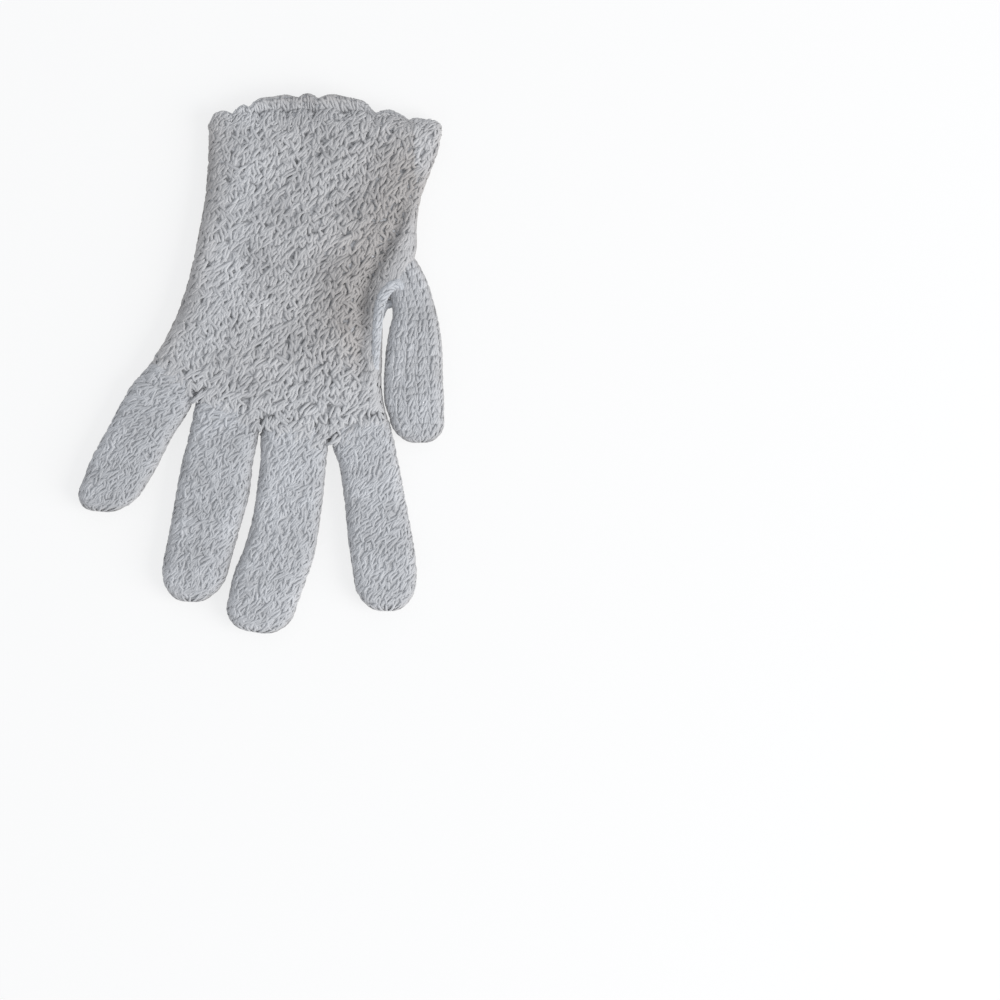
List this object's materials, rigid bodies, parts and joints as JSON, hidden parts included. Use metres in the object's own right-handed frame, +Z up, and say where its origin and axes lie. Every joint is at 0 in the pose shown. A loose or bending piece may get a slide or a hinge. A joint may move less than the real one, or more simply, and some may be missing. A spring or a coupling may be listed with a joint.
{
  "type": "knit glove",
  "caption": "Hollow dress glove of white cotton stitchwork lying flat, with separate fingers and thumb, a ribbed thumb and a scalloped cuff.",
  "frame": {"origin": "on the surface the glove lies on, under the middle of its bounding box", "axes": "+X towards the thumb's side, +Y towards the cuff with the fingers along -Y, +Z up from the surface through the palm"},
  "size_m": [0.1542, 0.227, 0.0116],
  "materials": {
    "cotton": "mercerised cotton yarn in a slanted shell stitch, thumb in plain ribs, white seen in soft shade",
    "edging_cotton": "the same cotton yarn in a scalloped shell edging"
  },
  "bodies": {
    "root": {"hand": "cotton", "little_finger": "cotton", "ring_finger": "cotton", "middle_finger": "cotton", "index_finger": "cotton", "thumb": "cotton", "scalloped_edging": "edging_cotton"}
  },
  "joints": []
}
